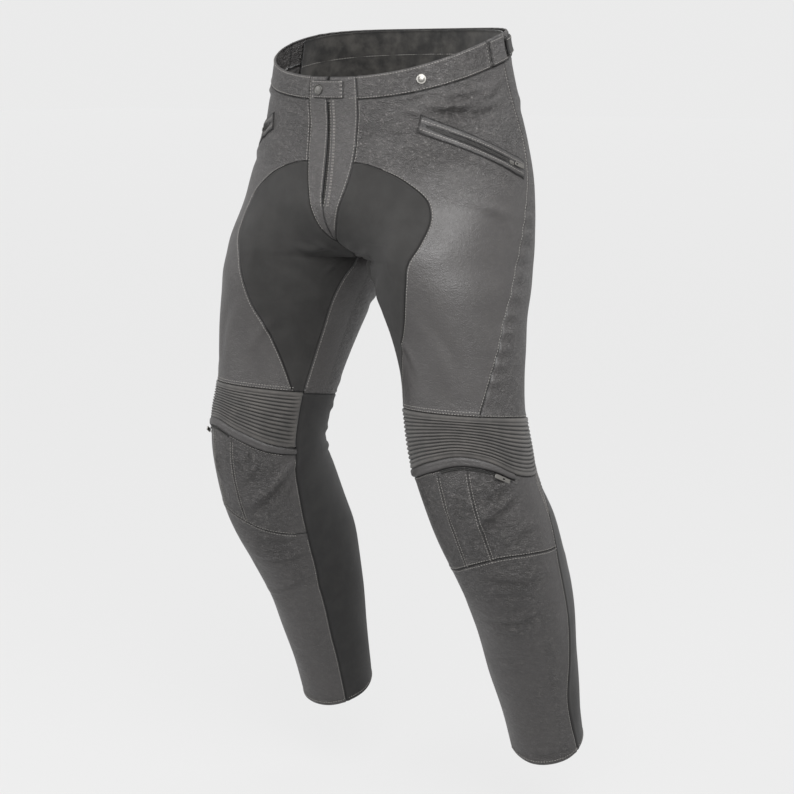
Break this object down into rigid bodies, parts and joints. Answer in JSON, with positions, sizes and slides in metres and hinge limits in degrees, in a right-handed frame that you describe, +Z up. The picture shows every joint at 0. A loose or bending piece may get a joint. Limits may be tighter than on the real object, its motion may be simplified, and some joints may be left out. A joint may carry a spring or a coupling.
{
  "type": "leather biker pants",
  "caption": "Slim leather riding trousers, filled out as worn, with ribbed stretch knees, stretch insets, fly under a tab, slanted zip pockets and open waist and hems.",
  "frame": {"origin": "middle of the waist, where the wearer holds the trousers up", "axes": "+X to the wearer's left, -Y to the front, +Z up"},
  "size_m": [0.4988, 0.3124, 0.9589],
  "materials": {
    "leather": "matt black cowhide, smooth on the thigh and pebbled at hip and knee",
    "stretch": "matt black woven stretch fabric",
    "facing": "matt dark facing cloth",
    "tape": "black zip tape",
    "metal": "nickelled brass"
  },
  "bodies": {
    "root": {"adjuster_keeper_left": "leather", "adjuster_keeper_right": "leather", "adjuster_strap_left": "stretch", "adjuster_strap_right": "stretch", "back_panel_left": "leather", "back_panel_right": "leather", "calf_panel_left": "stretch", "calf_panel_right": "stretch", "centre_tab": "leather", "fly_left": "leather", "fly_right": "leather", "fly_zip": "tape", "front_panel_left": "leather", "front_panel_right": "leather", "front_stretch_left": "stretch", "front_stretch_right": "stretch", "knee_arch_left": "leather", "knee_arch_right": "leather", "knee_centre_left": "leather", "knee_centre_right": "leather", "knee_gusset_left": "stretch", "knee_gusset_right": "stretch", "knee_inner_left": "leather", "knee_inner_right": "leather", "knee_outer_left": "leather", "knee_outer_right": "leather", "knee_ribs_left": "stretch", "knee_ribs_right": "stretch", "knee_slider_left": "metal", "knee_slider_right": "metal", "knee_zip_left": "tape", "knee_zip_right": "tape", "pocket_slider_left": "metal", "pocket_slider_right": "metal", "pocket_welt_left": "leather", "pocket_welt_right": "leather", "pocket_zip_left": "tape", "pocket_zip_right": "tape", "shin_panel_left": "leather", "shin_panel_right": "leather", "snap": "metal", "stud_left": "metal", "waist_facing": "facing", "waistband_back": "leather", "waistband_front_left": "leather", "waistband_front_right": "leather"},
    "knee_pull_left": {"knee_pull_left": "metal"},
    "knee_pull_right": {"knee_pull_right": "metal"},
    "pocket_pull_left": {"pocket_pull_left": "metal"},
    "pocket_pull_right": {"pocket_pull_right": "metal"}
  },
  "joints": [
    {"name": "knee_pull_left_hinge", "type": "hinge", "parent": "root", "child": "knee_pull_left", "pos_m": [0.2308, -0.09003, -0.49052], "axis": [0.1153, 0.4284, 0.8962], "range_deg": [0, 150]},
    {"name": "knee_pull_right_hinge", "type": "hinge", "parent": "root", "child": "knee_pull_right", "pos_m": [-0.2308, -0.09003, -0.49052], "axis": [0.1153, -0.4284, -0.8962], "range_deg": [0, 150]},
    {"name": "pocket_pull_left_hinge", "type": "hinge", "parent": "root", "child": "pocket_pull_left", "pos_m": [0.18848, -0.00438, -0.12582], "axis": [0.2398, -0.3696, -0.8977], "range_deg": [0, 150]},
    {"name": "pocket_pull_right_hinge", "type": "hinge", "parent": "root", "child": "pocket_pull_right", "pos_m": [-0.18848, -0.00438, -0.12582], "axis": [0.2398, 0.3696, 0.8977], "range_deg": [0, 150]}
  ]
}
